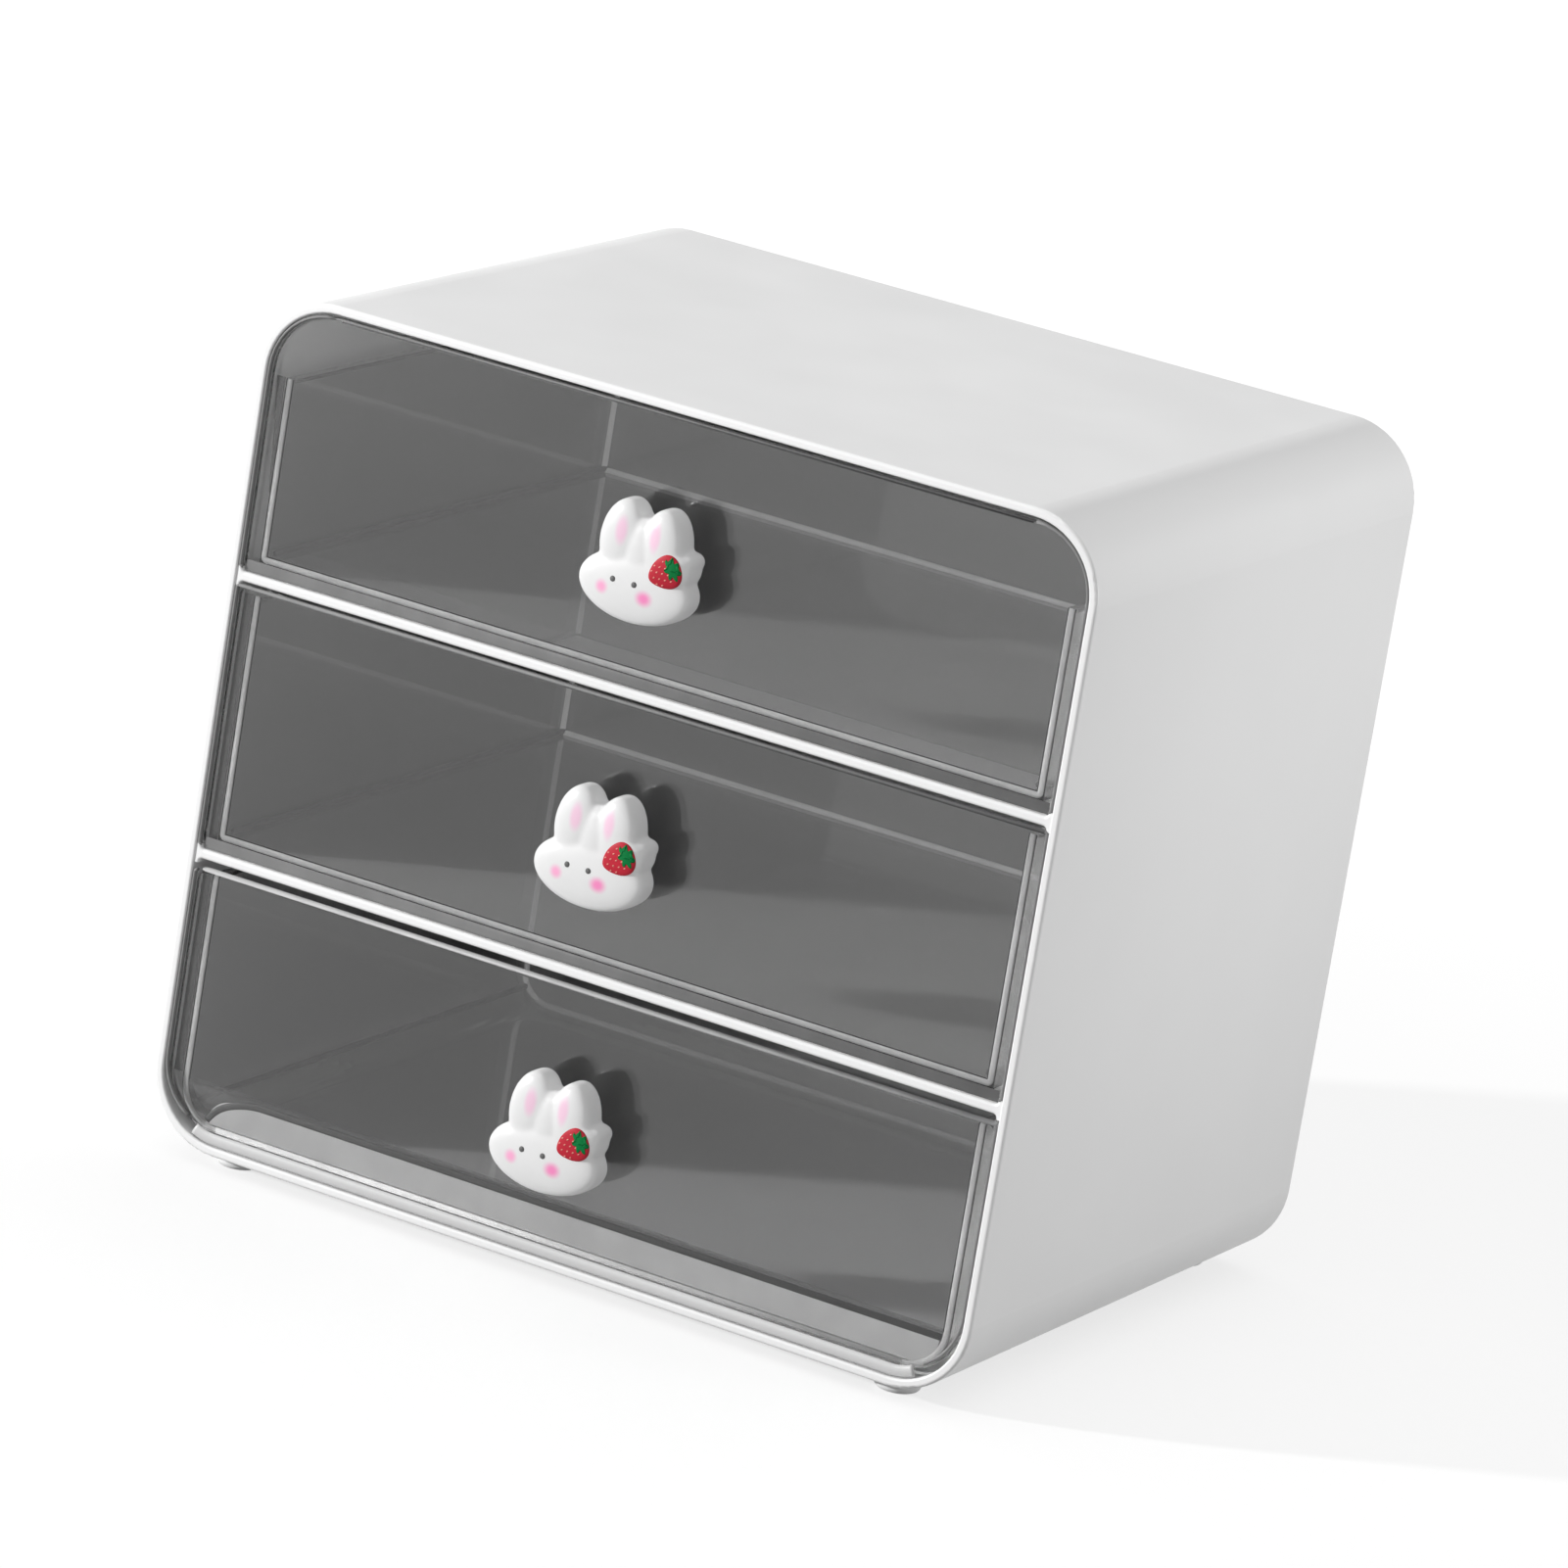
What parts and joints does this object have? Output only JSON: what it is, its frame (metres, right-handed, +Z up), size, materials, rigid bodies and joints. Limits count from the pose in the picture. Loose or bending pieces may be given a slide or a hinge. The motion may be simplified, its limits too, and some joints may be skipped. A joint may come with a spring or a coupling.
{
  "type": "cosmetics drawer organizer",
  "caption": "Desktop cosmetics organizer: a white rounded case on small feet with stacked smoky clear drawers that slide out by animal-head knobs.",
  "frame": {"origin": "middle of the whole object's footprint, knobs included, on the surface that the feet stand on", "axes": "+Z up, -Y towards the front where the drawers slide out, +X to the right seen from the front"},
  "size_m": [0.24, 0.1894, 0.2285],
  "materials": {
    "case_white": "white moulded plastic, soft gloss",
    "smoke_clear": "smoky clear acrylic, polished",
    "knob_resin": "white moulded resin with painted details",
    "berry_red": "red painted resin with a green leaf cap",
    "steel": "zinc plated steel",
    "foot_pad": "matte pale rubber"
  },
  "bodies": {
    "case": {"case_sleeve": "case_white", "back_panel": "case_white", "shelf_upper": "case_white", "shelf_lower": "case_white", "foot_front_left": "foot_pad", "foot_front_right": "foot_pad", "foot_back_left": "foot_pad", "foot_back_right": "foot_pad"},
    "drawer_top": {"tray_top": "smoke_clear", "front_top": "smoke_clear", "knob_top": "knob_resin", "berry_top": "berry_red", "spacer_top": "steel", "washer_top": "steel", "screw_top": "steel"},
    "drawer_middle": {"tray_middle": "smoke_clear", "front_middle": "smoke_clear", "knob_middle": "knob_resin", "berry_middle": "berry_red", "spacer_middle": "steel", "washer_middle": "steel", "screw_middle": "steel"},
    "drawer_bottom": {"tray_bottom": "smoke_clear", "front_bottom": "smoke_clear", "knob_bottom": "knob_resin", "berry_bottom": "berry_red", "spacer_bottom": "steel", "washer_bottom": "steel", "screw_bottom": "steel"}
  },
  "joints": [
    {"name": "slide_top", "type": "slide", "parent": "case", "child": "drawer_top", "axis": [0, -1, 0], "range_m": [0, 0.135]},
    {"name": "slide_middle", "type": "slide", "parent": "case", "child": "drawer_middle", "axis": [0, -1, 0], "range_m": [0, 0.135]},
    {"name": "slide_bottom", "type": "slide", "parent": "case", "child": "drawer_bottom", "axis": [0, -1, 0], "range_m": [0, 0.135]}
  ]
}
